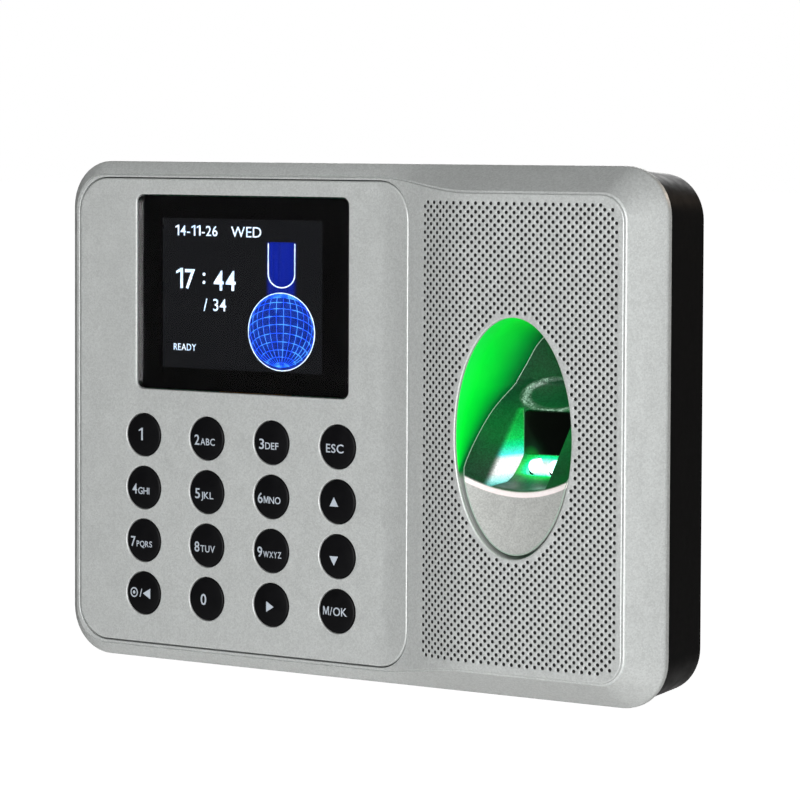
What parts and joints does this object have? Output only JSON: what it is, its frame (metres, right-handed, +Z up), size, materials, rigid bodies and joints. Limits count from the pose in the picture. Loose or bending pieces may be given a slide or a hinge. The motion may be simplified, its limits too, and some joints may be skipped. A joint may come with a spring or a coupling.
{
  "type": "fingerprint scanner terminal",
  "caption": "Wall-mounted access terminal with a display, a round-key keypad and an oval finger opening with a lit fingerprint sensor, hung on a steel wall plate.",
  "frame": {"origin": "centre of the wall plate's back face, which lies on the wall", "axes": "+X to the right seen from the front, along the long side; +Y back into the wall; +Z up"},
  "size_m": [0.174, 0.0284, 0.1236],
  "materials": {
    "silver_paint": "satin silver metallic paint with fine grain over moulded ABS",
    "shell_black": "satin black ABS with a fine spark texture",
    "key_black": "satin black key caps, printed in pale grey",
    "window_acrylic": "clear hard-coated acrylic, black print behind its border",
    "lcd_glass": "dark colour display, lit",
    "light_guide_green": "green-lit translucent plastic",
    "sensor_glass": "black glossy sensor window",
    "prism_glass": "clear optical glass",
    "led_lens": "lit LED lens",
    "foam_seal": "closed-cell foam",
    "silicone": "moulded silicone",
    "circuit_board": "green solder mask on glass-epoxy",
    "component_black": "moulded black plastic",
    "connector_white": "natural nylon",
    "battery_steel": "pressed stainless can",
    "flex_film": "amber polyimide film",
    "steel_bright": "bright pressed steel",
    "steel_zinc": "zinc-plated steel",
    "screw_black": "black oxide steel"
  },
  "bodies": {
    "wall_bracket": {"wall_plate": "steel_zinc"},
    "terminal_case": {"front_bezel": "silver_paint", "keypad_panel": "silver_paint", "finger_guide": "silver_paint", "display_window": "window_acrylic", "display_seal": "foam_seal", "lcd_frame": "steel_bright", "lcd_screen": "lcd_glass", "keypad_mat": "silicone", "keypad_board": "circuit_board", "sensor_board": "circuit_board", "main_board": "circuit_board", "light_guide": "light_guide_green", "sensor_window": "sensor_glass", "sensor_prism": "prism_glass", "sensor_led_left": "led_lens", "sensor_led_right": "led_lens", "rear_shell": "shell_black", "speaker": "component_black", "buzzer": "component_black", "wiring_connector_1": "connector_white", "wiring_connector_2": "connector_white", "lock_relay": "connector_white", "backup_battery": "battery_steel", "lcd_cable": "flex_film", "keypad_cable": "flex_film", "sensor_cable": "flex_film", "case_screw_1": "steel_zinc", "case_screw_2": "steel_zinc", "case_screw_3": "steel_zinc", "case_screw_4": "steel_zinc", "board_screw_1": "steel_zinc", "board_screw_2": "steel_zinc", "board_screw_3": "steel_zinc", "board_screw_4": "steel_zinc", "lock_screw_left": "screw_black", "lock_screw_right": "screw_black"},
    "key_1": {"key_1": "key_black"},
    "key_2": {"key_2": "key_black"},
    "key_3": {"key_3": "key_black"},
    "key_esc": {"key_esc": "key_black"},
    "key_4": {"key_4": "key_black"},
    "key_5": {"key_5": "key_black"},
    "key_6": {"key_6": "key_black"},
    "key_up": {"key_up": "key_black"},
    "key_7": {"key_7": "key_black"},
    "key_8": {"key_8": "key_black"},
    "key_9": {"key_9": "key_black"},
    "key_down": {"key_down": "key_black"},
    "key_left": {"key_left": "key_black"},
    "key_0": {"key_0": "key_black"},
    "key_right": {"key_right": "key_black"},
    "key_menu": {"key_menu": "key_black"}
  },
  "joints": [
    {"name": "case_lift", "type": "slide", "parent": "wall_bracket", "child": "terminal_case", "axis": [0, 0, 1], "range_m": [0, 0.008]},
    {"name": "key_1_press", "type": "slide", "parent": "terminal_case", "child": "key_1", "axis": [0, 1, 0], "range_m": [0, 0.0008], "stiffness_N_per_m": 300, "springref_m": -0.001},
    {"name": "key_2_press", "type": "slide", "parent": "terminal_case", "child": "key_2", "axis": [0, 1, 0], "range_m": [0, 0.0008], "stiffness_N_per_m": 300, "springref_m": -0.001},
    {"name": "key_3_press", "type": "slide", "parent": "terminal_case", "child": "key_3", "axis": [0, 1, 0], "range_m": [0, 0.0008], "stiffness_N_per_m": 300, "springref_m": -0.001},
    {"name": "key_esc_press", "type": "slide", "parent": "terminal_case", "child": "key_esc", "axis": [0, 1, 0], "range_m": [0, 0.0008], "stiffness_N_per_m": 300, "springref_m": -0.001},
    {"name": "key_4_press", "type": "slide", "parent": "terminal_case", "child": "key_4", "axis": [0, 1, 0], "range_m": [0, 0.0008], "stiffness_N_per_m": 300, "springref_m": -0.001},
    {"name": "key_5_press", "type": "slide", "parent": "terminal_case", "child": "key_5", "axis": [0, 1, 0], "range_m": [0, 0.0008], "stiffness_N_per_m": 300, "springref_m": -0.001},
    {"name": "key_6_press", "type": "slide", "parent": "terminal_case", "child": "key_6", "axis": [0, 1, 0], "range_m": [0, 0.0008], "stiffness_N_per_m": 300, "springref_m": -0.001},
    {"name": "key_up_press", "type": "slide", "parent": "terminal_case", "child": "key_up", "axis": [0, 1, 0], "range_m": [0, 0.0008], "stiffness_N_per_m": 300, "springref_m": -0.001},
    {"name": "key_7_press", "type": "slide", "parent": "terminal_case", "child": "key_7", "axis": [0, 1, 0], "range_m": [0, 0.0008], "stiffness_N_per_m": 300, "springref_m": -0.001},
    {"name": "key_8_press", "type": "slide", "parent": "terminal_case", "child": "key_8", "axis": [0, 1, 0], "range_m": [0, 0.0008], "stiffness_N_per_m": 300, "springref_m": -0.001},
    {"name": "key_9_press", "type": "slide", "parent": "terminal_case", "child": "key_9", "axis": [0, 1, 0], "range_m": [0, 0.0008], "stiffness_N_per_m": 300, "springref_m": -0.001},
    {"name": "key_down_press", "type": "slide", "parent": "terminal_case", "child": "key_down", "axis": [0, 1, 0], "range_m": [0, 0.0008], "stiffness_N_per_m": 300, "springref_m": -0.001},
    {"name": "key_left_press", "type": "slide", "parent": "terminal_case", "child": "key_left", "axis": [0, 1, 0], "range_m": [0, 0.0008], "stiffness_N_per_m": 300, "springref_m": -0.001},
    {"name": "key_0_press", "type": "slide", "parent": "terminal_case", "child": "key_0", "axis": [0, 1, 0], "range_m": [0, 0.0008], "stiffness_N_per_m": 300, "springref_m": -0.001},
    {"name": "key_right_press", "type": "slide", "parent": "terminal_case", "child": "key_right", "axis": [0, 1, 0], "range_m": [0, 0.0008], "stiffness_N_per_m": 300, "springref_m": -0.001},
    {"name": "key_menu_press", "type": "slide", "parent": "terminal_case", "child": "key_menu", "axis": [0, 1, 0], "range_m": [0, 0.0008], "stiffness_N_per_m": 300, "springref_m": -0.001}
  ]
}
